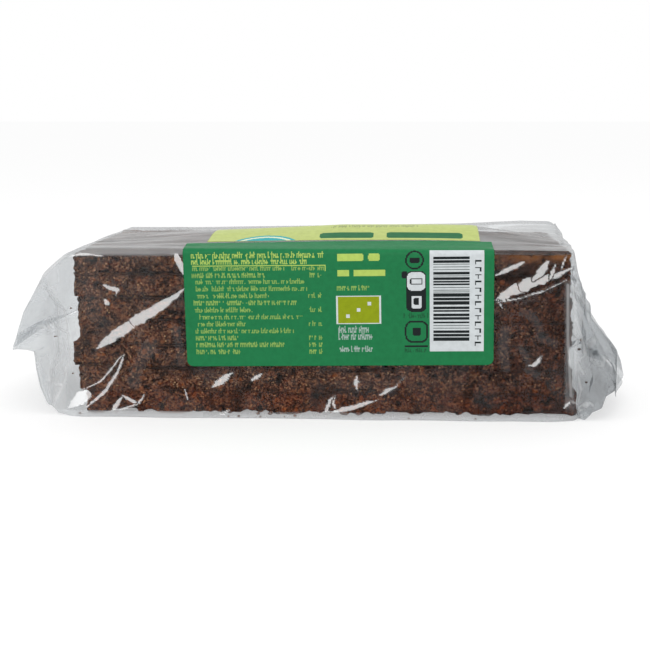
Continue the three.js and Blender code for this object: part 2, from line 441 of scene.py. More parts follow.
def boundary(points, number):
    """How far the face above slice `number` wanders from level. The top of the loaf dips to the left."""
    if number == 0:
        ragged = 0.35 + fbm(points / (13, 9, 99), 93, 3) * 1.5 + fbm(points / (2.6, 3, 99), 95, 2) * 0.8
        return 1.7 * np.clip(ragged, 0, 1) * smoothstep(-27, -34, points[:, 1])
    if number == SLICES:
        dip = -1.5 * smoothstep(50, -70, points[:, 0]) * smoothstep(-6, -32, points[:, 1])
        return dip - 0.4 + 0.35 * fbm(points / (9, 9, 99), 90, 2)
    flat_points = points * (1, 1, 0) + (0, 0, 40.0 * number)
    return 0.9 * fbm(flat_points / 13, 91, 3)


def rye_slice(number, material):
    node = f"slice_{number}"
    low, high = [np.array(c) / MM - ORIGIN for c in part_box(node)]
    low[1:] = -LOAF_HALF_DEPTH, low[2] - SLICE_SWELL
    high[1:] = LOAF_HALF_DEPTH, high[2] + SLICE_SWELL
    points, ways, level, inset, around = slice_skin(low, high, number == SLICES)
    to_cut = np.minimum(points[:, 2] - low[2], high[2] - points[:, 2])
    side = 1 - level

    shape = fbm(points / 15, 40, 2) * 0.7
    lumps = fbm(points / 4.0, 41, 2) * 0.6
    near, own = cells(points / 1.7, 42)
    grains = (0.55 - near) * 0.8 * (0.35 + own)
    holes = smoothstep(0.34, 0.62, fbm(points / 2.4, 43, 2)) * 1.4
    rim = np.clip(1 - to_cut / 1.1, 0, 1) * side
    worn = rim * 3.2 * np.clip(fbm(points / (16, 16, 6), 44 + number, 3) - 0.12, 0, 0.5)
    side_relief = shape + lumps + grains - holes - worn - 0.25
    top_relief = 0.3 * grains + 0.3 * lumps - 0.6 * holes - 0.2
    if number < SLICES:
        top_relief = np.minimum(top_relief, 0) * np.clip(inset / 3, 0, 1)
    moved = points + ways * (side_relief * side + top_relief * level)[:, None]
    upward = np.clip((points[:, 2] - low[2]) / (high[2] - low[2]), 0, 1)
    moved[:, 2] += boundary(points, number - 1) * (1 - upward) + boundary(points, number) * upward
    moved[:, 0] -= LEFT_REACH[number - 1] * smoothstep(-62, -82, moved[:, 0])

    # Painted shadow along the seams between slices, in patches.
    seam_shadow = smoothstep(1.1, 0.1, to_cut) * side
    seam_shadow = seam_shadow * smoothstep(-0.35, 0.2, fbm(points / (15, 15, 30), 47, 3)) * 0.9
    # Painted shade: darker in the holes, between the grains, on the worn rims and along the seams.
    hollow_shade = holes / 1.1 * 0.75 + smoothstep(0.55, 0.95, near) * 0.3 + worn * 0.5 + seam_shadow
    crust = np.zeros(len(points))
    if number == SLICES:
        patchy = fbm(points / 14, 5, 3) + points[:, 0] / 160
        crust = smoothstep(4.4, 0.6, high[2] - points[:, 2]) * side * smoothstep(-0.45, 0.4, patchy) * 0.75

    faces = grid_quads(len(points) // around, around, True).tolist()
    faces.append(list(range(around))[::-1])
    faces.append(list(range(len(points) - around, len(points))))
    looks = (("hollow_shade", np.clip(hollow_shade, 0, 0.92)), ("crust", crust))
    piece = make_piece(f"rye_slice_{number}", moved, faces, material, looks)
    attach(piece, "root")
    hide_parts(node)


# Crumbs that lie loose in the bag: x, y, z of the middle, and the size.
CRUMBS = [
    (-83.0, -36.3, 0.9, 0.9), (-31.6, -36.8, 0.6, 0.6), (-28.0, -36.7, 0.7, 0.8), (-20.6, -36.7, 0.6, 0.7),
    (-12.4, -36.7, 0.6, 0.5), (-8.8, -36.1, 0.9, 1.0), (-17.5, -35.4, 1.4, 1.3), (-21.5, -35.5, 1.3, 1.1),
    (30.0, -36.9, 0.6, 0.5), (52.5, -36.8, 0.7, 0.7), (-85.6, -33.0, 37.0, 0.6), (-95.7, -19.3, 24.3, 0.6),
    (-96.9, -17.7, 23.8, 0.7), (-85.6, -34.0, 14.4, 0.6), (91.0, -26.9, 11.3, 0.8), (88.0, -30.7, 27.0, 0.7),
    (87.3, -31.7, 24.0, 0.9),
]
CRUMB_RINGS, CRUMB_AROUND = 7, 9
CRUMB_POLE = 0.12          # angle from a crumb's pole to its first ring, radians


def loose_crumbs(material):
    tilts = np.linspace(CRUMB_POLE, math.pi - CRUMB_POLE, CRUMB_RINGS)
    spins = np.arange(CRUMB_AROUND) * 2 * math.pi / CRUMB_AROUND
    tilt, spin = (part.ravel() for part in np.meshgrid(tilts, spins, indexing="ij"))
    ball = np.column_stack([np.sin(tilt) * np.cos(spin), np.sin(tilt) * np.sin(spin), np.cos(tilt)])
    points, faces = [], []
    for i, (x, y, z, size) in enumerate(CRUMBS):
        bumpy = ball * (1 + 0.45 * fbm(ball * 1.6 + 9.0 * i, 70, 2))[:, None] * (size / 2)
        points.append(bumpy * (1.25, 0.95, 0.8) + (x, y, z))
        start, last = i * len(ball), (i + 1) * len(ball) - CRUMB_AROUND
        faces += (grid_quads(CRUMB_RINGS, CRUMB_AROUND, True)[:, ::-1] + start).tolist()
        faces.append(list(range(start, start + CRUMB_AROUND)))
        faces.append(list(range(last, last + CRUMB_AROUND))[::-1])
    points = np.concatenate(points)
    looks = (("hollow_shade", np.zeros(len(points))), ("crust", np.full(len(points), 0.15)))
    piece = make_piece("loose_crumbs", points, faces, material, looks)
    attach(piece, "root")


# ---- bag
# Each end of the bag, outward from the loaf: x, underside, top, half depth.
LEFT_END = [
    (-80.8, 0.0, 57.8, 36.0),
    (-86.4, 0.0, 55.8, 36.0),
    (-91.2, 0.3, 51.6, 35.8),
    (-93.9, 3.0, 49.0, 35.7),
    (-96.2, 9.0, 45.2, 35.6),
    (-97.4, 15.0, 43.0, 35.5),
    (-98.1, 21.6, 41.7, 35.4),
    (-101.2, 22.3, 36.0, 35.2),
    (-103.8, 22.5, 29.6, 35.1),
    (-105.6, 22.6, 24.4, 35.0),
    (-107.0, 22.6, 23.4, 35.0),
    (-113.0, 22.9, 23.3, 35.0),
]
RIGHT_END = [
    (82.0, 0.0, 57.8, 36.0),
    (84.0, 0.0, 57.2, 36.0),
    (85.4, 0.0, 51.0, 36.0),
    (88.3, 0.2, 42.0, 35.8),
    (91.3, 1.7, 33.6, 35.5),
    (94.8, 5.5, 29.0, 35.0),
    (98.2, 10.0, 26.6, 34.6),
    (99.8, 12.0, 24.0, 34.3),
    (101.5, 11.8, 21.5, 34.0),
    (103.8, 10.5, 18.5, 33.8),
    (105.8, 9.0, 14.0, 33.6),
    (107.0, 8.0, 9.6, 33.5),
]
# Where the front and back walls start to fold in, at each height: height, x.
LEFT_FOLD = [(0, -93.4), (8, -92.5), (14.3, -90.2), (19.3, -85.6), (36, -85.6), (43.3, -90.8), (49.5, -93.9)]
RIGHT_FOLD = [(0, 88.0), (6, 87.0), (12, 85.6), (44, 85.0), (50, 86.0), (57, 90.0)]
FOLD_SLOPE = 1.5           # how fast a wall goes in
FOLD_LIP = 1.5             # how steeply it comes back out to the flap above or below
FOLD_MOST = 27.0           # how far it may go in
PLEAT_APEX = (81.7, 48.3)  # x, height of the point that the right end's pleats run from
ARCH_MIDDLE = -8.0         # y of the arch's crest under the top label
ARCH_HALF_WIDTH = 30.0
ARCH = [(-80, 0.0), (-46, 2.4), (6, 5.2), (52, 5.2), (82, 0.6)]
BACK_RISE = [(-60, 0.0), (50, 2.0), (74, 3.2), (92, 2.8), (100, 0.0)]   # the film's top at its back edge
BACK_REACH = 5.6           # how much further the top of the right end reaches at the back

# Facets of the front film that catch the light: a middle line's points (x, height, half width), and the lean.
GLINTS = [
    ([(-76.9, 23.1, 0.1), (-74.6, 25.0, 1.1), (-71.5, 27.2, 1.7), (-67.1, 30.1, 2.0), (-62.7, 33.3, 2)], 0.4),
    ([(-62.7, 33.3, 2.0), (-59.3, 35.2, 2.0), (-55.4, 37.4, 1.7), (-52.3, 39.7, 1.4), (-48.8, 42.0, 1.0),
      (-45.5, 44.7, 0.3)], 0.37),
    ([(-67.2, 21.8, 0.2), (-69.3, 19.6, 0.4), (-71.1, 17.2, 0.4), (-75.2, 12.3, 0.4), (-81.8, 9.1, 0.3)],
     0.4),
    ([(-67.2, 21.8, 0.2), (-68.1, 18.8, 0.6), (-69.6, 15.4, 0.6), (-74.2, 8.5, 0.7), (-80.3, 3.3, 0.5)], 0.4),
    ([(-88.0, 2.2, 0.2), (-85.5, 3.8, 1.2), (-83.0, 5.8, 2.2), (-80.6, 7.6, 1.9)], 0.36),
    ([(-72.4, 0.7, 0.2), (-71.2, 2.6, 0.9), (-69.7, 4.9, 0.9), (-68.0, 7.2, 0.3)], 0.4),
    ([(-68.2, 7.4, 0.3), (-65.9, 6.0, 0.6), (-63.1, 4.5, 0.4)], 0.4),
    ([(-72.3, 0.8, 0.2), (-68.2, 2.6, 0.45), (-62.8, 4.3, 0.3)], 0.42),
    ([(-62.5, 4.8, 0.5), (-61.5, 6.0, 0.4), (-60.6, 7.8, 0.2)], 0.4),
    ([(-73.0, 45.5, 0.4), (-70.8, 44.6, 0.8), (-68.3, 44.0, 0.7), (-69.0, 42.1, 0.3)], 0.33),
    ([(-72.7, 40.4, 0.6), (-71.9, 39.3, 0.8)], 0.26),
    ([(-48.4, 56.8, 0.5), (-47.8, 54.7, 1.2), (-47.0, 52.6, 1.2), (-45.8, 49.2, 0.3)], 0.42),
    ([(-86.3, 55.2, 0.2), (-82.2, 55.8, 0.45), (-78.0, 56.1, 0.4), (-72.8, 55.3, 0.2)], 0.42),
    ([(-37.2, 10.4, 0.3), (-35.0, 12.0, 1.2), (-32.5, 13.9, 1.1), (-29.8, 15.9, 0.2)], 0.34),
    ([(-23.5, 13.0, 0.4), (-21.9, 14.2, 0.8), (-20.2, 15.4, 0.3)], 0.27),
    ([(-34.2, 1.2, 0.4), (-32.8, 2.0, 0.45), (-31.4, 2.7, 0.2)], 0.4),
    ([(-46.5, 9.7, 0.2), (-45.9, 7.8, 0.3), (-45.6, 5.9, 0.2)], 0.36),
    ([(12.5, 15.0, 0.4), (12.0, 13.0, 1.0), (12.5, 10.2, 0.5)], 0.38),
    ([(1.6, 0.5, 0.3), (2.0, 3.1, 0.7), (2.9, 5.9, 0.8), (4.7, 7.7, 0.4)], 0.4),
    ([(3.2, 2.0, 0.5), (7.4, 2.8, 1.0), (11.7, 4.1, 1.0), (15.9, 5.7, 0.7), (19.7, 6.6, 0.2)], 0.4),
    ([(4.9, 7.7, 0.3), (4.2, 5.6, 0.45), (4.9, 3.6, 0.5)], 0.42),
    ([(20.2, 8.4, 0.4), (22.5, 9.8, 0.8), (25.2, 11.2, 0.4), (28.4, 14.7, 0.2)], 0.34),
    ([(58.4, 49.7, 0.3), (61.3, 51.1, 0.9), (64.5, 52.6, 0.9), (67.6, 54.3, 0.3)], 0.4),
    ([(58.5, 41.2, 0.3), (61.1, 43.0, 1.5), (63.9, 44.7, 2.0), (67.6, 46.3, 2.1)], 0.38),
    ([(67.6, 46.3, 2.1), (71.2, 47.6, 1.9), (74.9, 48.7, 1.4), (78.5, 49.9, 0.9), (83.2, 52.2, 0.4)], 0.42),
    ([(70.6, 48.1, 0.7), (72.9, 50.5, 1.3), (74.3, 52.7, 1.2), (75.4, 54.7, 0.3)], 0.4),
    ([(76.3, 48.8, 0.6), (77.0, 51.2, 0.7), (77.8, 53.5, 0.2)], 0.42),
    ([(81.4, 56.7, 0.3), (80.5, 54.4, 0.35), (79.8, 51.5, 0.2)], 0.42),
    ([(59.5, 41.0, 0.5), (60.6, 38.8, 0.2)], 0.4),
    ([(69.2, 19.0, 0.2), (71.4, 19.3, 0.6), (73.0, 20.7, 0.8), (74.6, 23.0, 0.2)], 0.38),
    ([(82.3, 4.8, 0.4), (83.3, 6.0, 0.5), (84.2, 7.4, 0.2)], 0.42),
    ([(58.7, 40.5, 0.25), (66.4, 42.1, 0.3), (74.6, 44.7, 0.3), (81.4, 48.2, 0.25)], 0.36),
    ([(-96.9, 43.9, 0.3), (-94.9, 44.4, 0.6)], 0.4),
    ([(-98.3, 11.4, 0.3), (-96.8, 6.8, 0.5), (-95.0, 2.0, 0.3)], 0.38),
    ([(-89.6, 10.2, 0.4), (-91.8, 5.6, 0.3), (-93.8, 2.0, 0.3)], 0.38),
]
# Sharp creases of the bag's ends: points (x, height).
CREASE_HALF = 0.42
END_CREASES = [
    [(-93.6, 43.1), (-90.2, 41.0), (-86.8, 31.9), (-86.4, 24.2), (-87.7, 12.8), (-94.3, 0.4)],
    [(-92.8, 41.7), (-93.3, 26.9), (-94.5, 0.4)],
    [(-105.9, 29.0), (-97.8, 28.5), (-85.9, 28.8)],
    [(-98.0, 47.0), (-94.4, 43.5), (-93.0, 41.0)],
    [(-98.7, 11.4), (-89.5, 10.6)],
    [(82.1, 46.7), (82.7, 28.5), (84.4, 9.0)],
    [(84.1, 45.7), (85.7, 28.5), (87.1, 7.6)],
    [(83.6, 46.7), (87.8, 36.8), (90.3, 27.2), (92.2, 17.5), (95.9, 16.5), (99.1, 20.3)],
    [(84.8, 45.7), (89.4, 37.5), (92.0, 31.4), (93.4, 21.7)],
    [(83.6, 46.4), (86.1, 35.4), (89.0, 21.6), (86.7, 20.2), (89.6, 14.7)],
    [(87.4, 18.8), (87.9, 14.6), (89.4, 9.7), (88.6, 5.5)],
    [(84.8, 6.9), (87.9, 5.5), (89.7, 2.7), (93.5, 1.3), (94.1, 3.8), (91.6, 5.2), (88.0, 3.4)],
]
# Soft raised folds of the front film: a line's points (x, height), its half width, and how far it stands out.
SOFT_FOLDS = [
    ([(-84.5, 40.0), (-70.0, 30.0), (-52.0, 16.0)], 4.0, 0.35),
    ([(-60.0, 10.0), (-30.0, 4.0), (0.0, 10.0)], 4.0, 0.30),
    ([(58.0, 36.0), (68.0, 39.5), (83.0, 46.0)], 3.6, 0.5),
    ([(62.0, 36.0), (70.0, 22.0), (80.0, 8.0)], 4.0, 0.6),
    ([(68.0, 32.0), (74.0, 26.0), (73.0, 16.0)], 2.4, 0.4),
    ([(30.0, 8.0), (50.0, 14.0), (76.0, 14.0)], 4.0, 0.35),
]
# Soft pale bands of haze on the front film, painted soft highlights: points of a line (x, height), half width.
HIGHLIGHT_VEILS = [
    ([(67.2, 37.4), (69.4, 37.0), (71.7, 34.4), (73.2, 32.2), (73.3, 29.1), (75.8, 27.7), (78.5, 26.7)], 1.5),
    ([(67.1, 25.3), (68.7, 22.6), (69.8, 20.4)], 1.1),
    ([(69.5, 18.0), (72.9, 15.8)], 1.3),
    ([(-48.9, 30.3), (-48.1, 25.2), (-47.5, 19.2)], 1.7),
    ([(-58.0, 25.1), (-60.2, 21.2), (-62.7, 17.0), (-64.0, 12.1)], 2.6),
    ([(61.8, 31.3), (61.3, 24.5), (62.4, 18.3)], 1.8),
]
HIGHLIGHT_VEIL_HAZE = 0.10
# The fold that stands on the front at the right: height, x of its middle.
PLEAT_STRIP = [(7.0, 84.0), (47.5, 82.6)]
PLEAT_STRIP_HALF = 1.8
PLEAT_STRIP_HEIGHT = 0.4
# Where the top film clings to the bread near its back edge, so that it is clear: x, y.
BARE_RIGHT = [(52, 4), (56, 8.4), (61, 18.9), (66, 26), (74, 30), (86, 32)]
BARE_LEFT = [(-78, 22), (-70, 18), (-56, 9), (-46, 5)]
BARE_HALF = 5.0

# The part of the light that the film scatters, in its different places.
HAZE_CLEAR = 0.005         # where it lies smooth over the bread
HAZE_LEFT_END, HAZE_RIGHT_END = 0.14, 0.24
HAZE_FIN = 0.10            # more on the sealed fins
# Painted light: whiter haze at the foot of the left end brightens the floor's shade seen through it.
LEFT_FOOT_PAINTED_LIGHT = 0.22      # more at the foot of the left end
HAZE_STRIP = 0.26          # on the standing fold at the right
# On creases the film is made paler and more milky: its whitening there, and a painted highlight along each
# crease.
CREASE_HAZE_AND_HIGHLIGHT = 0.14         # on a crease, with more at the ends
END_CREASE_HAZE_AND_HIGHLIGHT = 0.26
HAZE_RIM, HAZE_FRONT_RIGHT_RIM = 0.5, 0.06
HAZE_BROW = 0.5            # just below the front top edge
HAZE_LIP_LEFT, HAZE_LIP_RIGHT = 0.36, 0.22
HAZE_FRONT_LEFT = 0.07     # a faint veil over the upper left of the front

# The film's grid: stations along x, as first, end and step, and the numbers of places round the section.
STATIONS = [(-113, -88, 0.42), (-88, -45, 0.36), (-45, 57, 0.5), (57, 107.2, 0.38)]
FLOOR_STEPS, CORNER_STEPS = 24, 6
FRONT_STEPS, TOP_STEPS, BACK_STEPS = 160, 96, 76
CORNER_GAP = 0.25          # angle between a wall's last point and the corner's first, radians
FLOOR_GAP = 0.05           # the film's lowest point above the floor
CUT_LEFT, CUT_RIGHT = -105.6, 99.6      # x of the sealed ends at the bag's sides

LABEL_X = 6.1              # middle of the front label
LABEL_WIDTH = 103.6
LABEL_LOW = 18.3           # height of its lower edge
LABEL_DOWN = 39.0          # its reach below the middle of the film's rounded edge
LABEL_OVER = 9.0           # and over the top
LABEL_TURN = 0.014
TOP_LABEL_X = 7.1
TOP_LABEL_WIDTH = 93.3
TOP_LABEL_FROM = 10.2
TOP_LABEL_OVER = 58.0
LABEL_FOOT = 0.02          # a label's cut edge above the film
LABEL_LIFT = 0.14          # and its printed face


def along(table, x, column):
    """A column of a table, read between its rows, whose first column is x."""
    rows = sorted(table)
    return np.interp(x, [row[0] for row in rows], [row[column] for row in rows])


def arch(x, y):
    """How far the top film stands up: in an arch under the label, and along its back edge at the right."""
    across = np.clip((y - ARCH_MIDDLE) / ARCH_HALF_WIDTH, -1, 1)
    crest = along(ARCH, x, 1) * np.cos(across * math.pi / 2) ** 2
    return crest + along(BACK_RISE, x, 1) * smoothstep(0, 34, y)


def near_line(x, z, line):
    """Distance to a line of points, where along it (0 to 1) the nearest place is, and its steps' lengths."""
    best = np.full(x.shape, 1e9)
    place = np.zeros(x.shape)
    line = np.array(line)[:, :2]
    steps = np.linalg.norm(np.diff(line, axis=0), axis=1)
    run = 0.0
    for a, b, step in zip(line[:-1], line[1:], steps):
        way = (b - a) / step
        t = np.clip((x - a[0]) * way[0] + (z - a[1]) * way[1], 0, step)
        r = np.hypot(x - a[0] - t * way[0], z - a[1] - t * way[1])
        nearer = r < best
        best = np.where(nearer, r, best)
        place = np.where(nearer, run + t, place)
        run += step
    return best, place / run, steps


def fold(x, z, line, half, height):
    """A soft raised fold along a line, fading toward both ends."""
    r, place, _ = near_line(x, z, line)
    return height * np.clip(1 - r / half, 0, 1) * np.clip(np.minimum(place, 1 - place) * 4, 0, 1)


def crease_lines(x, z):
    """Where sharp creases run over the ends of the bag: 1 on a crease, 0 away from it."""
    total = np.zeros(x.shape)
    for line in END_CREASES:
        r, _, _ = near_line(x, z, line)
        total = np.maximum(total, np.clip(1.5 - r / CREASE_HALF, 0, 1))
    return total


def crinkles(points):
    """Fine crushed folds, millimetres."""
    near, own = cells(points / 4.2, 71)
    return near * 1.5 + own * 0.3


def glint_height(x, z):
    """The lean of the facets that catch the light, as a height on the front film, and where they are."""
    ragged = plane_noise(x, z, (2.2, 1.3), 61, 3)
    broken = plane_noise(x, z, (5.0, 1.6), 64, 2)
    total = np.zeros(x.shape)
    shine = np.zeros(x.shape)
    for line, slope in GLINTS:
        r, place, steps = near_line(x, z, line)
        at = np.concatenate([[0], np.cumsum(steps)]) / steps.sum()
        half = np.interp(place, at, [p[2] for p in line])
        middle = np.mean([p[1] for p in line])
        inside = r < half * (0.94 + 0.35 * ragged) + 0.06
        total = np.where(inside, slope * (middle - z) + 0.03 * broken, total)
        shine = np.where(inside, 1.0, shine)
    return total, shine


def standing_fold(x, z):
    """1 on the fold that stands on the front at the right, 0 away from it."""
    across = np.clip(1 - np.abs(x - along(PLEAT_STRIP, z, 1)) / PLEAT_STRIP_HALF, 0, 1)
    return np.clip(across * 4, 0, 1) * smoothstep(49.5, 46, z) * smoothstep(2.0, 7.0, z)


def front_relief(x, z):
    """How far the front film stands out of its plane, with folds only where no label holds it flat."""
    slow = plane_noise(x, z, (34, 17), 3, 2) * 0.5
    quick = plane_noise(x, z, (9, 6), 9, 2) * 0.07
    from_label = np.maximum(np.abs(x - LABEL_X) - LABEL_WIDTH / 2, LABEL_LOW - z)
    under_label = smoothstep(3.0, 0.0, from_label)
    free = np.zeros(x.shape)
    for line, half, height in SOFT_FOLDS:
        free = free + fold(x, z, line, half, height)
    free = free + standing_fold(x, z) * PLEAT_STRIP_HEIGHT
    edge = smoothstep(BAG_HEIGHT, BAG_HEIGHT - 4, z) * smoothstep(0, 2.5, z)
    return (slow * 0.7 + quick * (1 - 0.6 * under_label)) * edge + free * (1 - under_label)


def top_relief(x, y):
    """How far the top film stands out of its arch."""
    slow = plane_noise(x, y, (30, 12), 51, 2) * 0.45
    streaks = plane_noise(x, y, (22, 3.2), 52, 2) * 0.22
    near_label = smoothstep(4.0, 0.0, np.abs(x - TOP_LABEL_X) - TOP_LABEL_WIDTH / 2)
    edge = smoothstep(BAG_HALF_DEPTH, BAG_HALF_DEPTH - 4, np.abs(y))
    return (slow * 0.5 + streaks * (1 - 0.85 * near_label) + 0.25) * edge


def bottom_lip(x, z):
    """The slack film that spreads on the floor in front of the loaf."""
    wavy = 2.5 + 0.5 * plane_noise(x, x * 0, (17, 1), 12, 1)
    return wavy * smoothstep(-96, -80, x) * smoothstep(90, 76, x) * np.clip(1 - z / 1.9, 0, 1)


def bag_sections():
    """Places round the bag's section, from the middle of the underside, up the front and back down the rear:
    side, part of the half depth, part of the height, where on the corner radius, and what the place is."""
    places = []

    def corner(side, upper, start, stop):
        for t in np.linspace(start, stop, CORNER_STEPS)[:-1]:
            places.append((side, 1.0, upper, math.sin(t) - 1, (1 - math.cos(t)) * (1 - 2 * upper), "corner"))

    quarter = math.pi / 2
    for t in np.arange(0, 1, 1 / FLOOR_STEPS):
        places.append((-1, t, 0.0, -t, 0.0, "floor"))
    corner(-1, 0, 0, quarter)
    for t in np.linspace(0, 1, FRONT_STEPS):
        places.append((-1, 1.0, t, 0.0, 1 - 2 * t, "front"))
    corner(-1, 1, quarter - CORNER_GAP, 0)
    for t in np.linspace(1, -1, TOP_STEPS):
        places.append((-1 if t > 0 else 1, abs(t), 1.0, -abs(t), 0.0, "top"))
    corner(1, 1, CORNER_GAP, quarter)
    for t in np.linspace(1, 0, BACK_STEPS):
        places.append((1, 1.0, t, 0.0, 1 - 2 * t, "back"))
    corner(1, 0, quarter - CORNER_GAP, 0)
    for t in np.arange(1, 0, -1 / FLOOR_STEPS):
        places.append((1, t, 0.0, -t, 0.0, "floor"))
    return places


def tucked(x, z, under, top):
    """How far a wall is folded in at the bag's ends."""
    left = np.clip(along(LEFT_FOLD, z, 1) - x, 0, None)
    right = np.clip(x - along(RIGHT_FOLD, z, 1), 0, None)
    lip = np.minimum(top - z, z - under) * FOLD_LIP
    return np.clip(np.minimum((left + right) * FOLD_SLOPE, lip), 0, FOLD_MOST)


def creased(p, seed):
    """Straight-edged crumples: folds in a few fixed directions."""
    total = np.zeros(len(p))
    rng = np.random.default_rng(seed)
    for _ in range(4):
        way = rng.normal(size=3)
        way /= np.linalg.norm(way)
        total += triangle_wave(p @ way / rng.uniform(16, 30) + rng.uniform()) * rng.uniform(0.35, 0.8)
    return total


def pleats(x, y, z):
    """Folds of the right end that run down from one point near its top."""
    dx, dz = x - PLEAT_APEX[0], PLEAT_APEX[1] - z
    reach = np.hypot(dx, dz)
    angle = np.arctan2(dz, np.maximum(dx, 0.01))
    wave = triangle_wave(angle * 3.6 + 0.15 * y / BAG_HALF_DEPTH)
    return wave * np.clip(reach / 22, 0, 1) * smoothstep(84.6, 88.0, x)


def cut_back(x, y):
    """The sealed ends are cut in a curve: they reach furthest at the middle of the bag."""
    keep = 1 - smoothstep(8, 35, np.abs(y)) * 0.97
    left = np.where(x < CUT_LEFT, CUT_LEFT + (x - CUT_LEFT) * keep, x)
    return np.where(x > CUT_RIGHT, CUT_RIGHT + (x - CUT_RIGHT) * keep, left)


class Bag:
    """The bag before its wrinkles: a grid with one row for each station along x, and what each point is."""

    def __init__(self):
        table = LEFT_END + RIGHT_END
        stations = np.concatenate([np.arange(*run) for run in STATIONS])
        self.under, self.top, half = (along(table, stations, k)[:, None] for k in (1, 2, 3))
        places = bag_sections()
        side, out, up, cy, cz = (np.array([p[k] for p in places])[None, :] for k in range(5))
        kind = np.array([p[5] for p in places])[None, :]
        self.is_front, self.is_top, self.is_back = kind == "front", kind == "top", kind == "back"
        self.is_floor, self.is_corner = kind == "floor", kind == "corner"
        radius = np.minimum(BAG_CORNER, (self.top - self.under) * 0.3)
        x = np.repeat(stations[:, None], len(places), 1)
        y = side * (out * half + cy * radius)
        z = self.under + up * (self.top - self.under) + cz * radius
        wall = self.is_front | self.is_back
        y = y - side * tucked(x, z, self.under, self.top) * wall
        lifted = self.is_top | (self.is_corner & (up == 1))
        z = z + arch(x, y) * np.where(lifted, 1, smoothstep(20, 57, z) * wall)
        reach = smoothstep(76, 88, x) * smoothstep(100, 88, x) * smoothstep(18, 50, z)
        x = x + BACK_REACH * reach * np.clip(y / BAG_HALF_DEPTH * 0.5 + 0.5, 0, 1)
        self.x, self.y, self.z = x, y, z
        self.grid = np.stack([x, y, z], -1)
        self.body = smoothstep(-90, -83, x) * smoothstep(90, 84, x)     # 1 along the loaf, 0 at the ends
        self.ends = 1 - self.body
        self.left = x < 0

    def points(self):
        return self.grid.reshape(-1, 3)


def grid_normals(grid):
    du = np.gradient(grid, axis=0)
    dv = np.roll(grid, -1, 1) - np.roll(grid, 1, 1)
    n = np.cross(dv, du)
    n = n / np.maximum(np.linalg.norm(n, axis=-1, keepdims=True), 1e-9)
    if ((grid - grid.mean(axis=1, keepdims=True)) * n).sum() < 0:
        n = -n
    return n


def wrinkled(bag):
    """The film's points with their relief, crumples, slack lip and crimped fins."""
    x, y, z = bag.x, bag.y, bag.z
    relief = front_relief(x, z) * bag.is_front + top_relief(x, y) * bag.is_top
    relief = relief + front_relief(-x, z + 300) * bag.is_back
    crumple = creased(bag.points(), 5).reshape(x.shape) * np.where(bag.left, 0.55, 0.7)
    crumple = crumple + np.where(x > 0, pleats(x, y, z) * 1.5, 0)
    crumple = crumple * np.clip((bag.top - bag.under) / 12, 0.12, 1)
    crumple = crumple * np.where(bag.is_floor & (z < 0.5), 0, 1)
    lift = relief * bag.body + crumple * bag.ends
    moved = bag.grid + grid_normals(bag.grid) * lift[..., None]
    moved[..., 1] -= np.where(y < -30, bottom_lip(x, z), 0)
    moved[..., 2] += np.where(x < -106.0, 0.28 * triangle_wave(y / 2.2), 0)
    moved[..., 2] += np.where(x > 103.5, 0.3 * triangle_wave(y / 2.6), 0)
    moved[..., 2] = np.maximum(moved[..., 2], FLOOR_GAP)
    moved[..., 0] = cut_back(moved[..., 0], moved[..., 1])
    return moved


def clinging(bag):
    """Where the top film clings to the bread: up to 1 at the right, and half that at the left."""
    x = bag.x
    right = np.exp(-(((bag.y - along(BARE_RIGHT, x, 1)) / BARE_HALF) ** 2))
    left = np.exp(-(((bag.y - along(BARE_LEFT, x, 1)) / BARE_HALF) ** 2))
    right = right * smoothstep(50, 56, x) * smoothstep(88, 74, x)
    return right + 0.5 * left * smoothstep(-82, -74, x) * (x < -30)


def film_marks(bag, moved):
    """The places of the film that look different, each 1 inside and 0 outside."""
    x, y, z = bag.x, bag.y, bag.z
    return SimpleNamespace(
        lines=crease_lines(x, z) * (bag.is_front | (bag.is_back & ~bag.left)),
        strip=standing_fold(x, z) * bag.is_front,
        bare=clinging(bag),
        brow=smoothstep(55.0, 56.6, z) * bag.is_front * (x < 50),
        rim=bag.is_corner & (z > 40),
        lip=(moved[..., 1] < -34) & (moved[..., 2] < 1.9),
    )


def top_haze(bag, bare):
    """The milky, streaky haze of the slack top film."""
    streaks = fbm(bag.points() / (26, 3.0, 50), 58, 3).reshape(bag.x.shape)
    haze = 0.34 + 0.16 * smoothstep(24, -30, bag.y) + 0.34 * streaks + 0.06 * smoothstep(0, -60, bag.x)
    haze = haze - 0.6 * bare - 0.10 * smoothstep(22, 33, bag.y)
    return np.clip(haze, 0, 1) * bag.is_top * bag.body


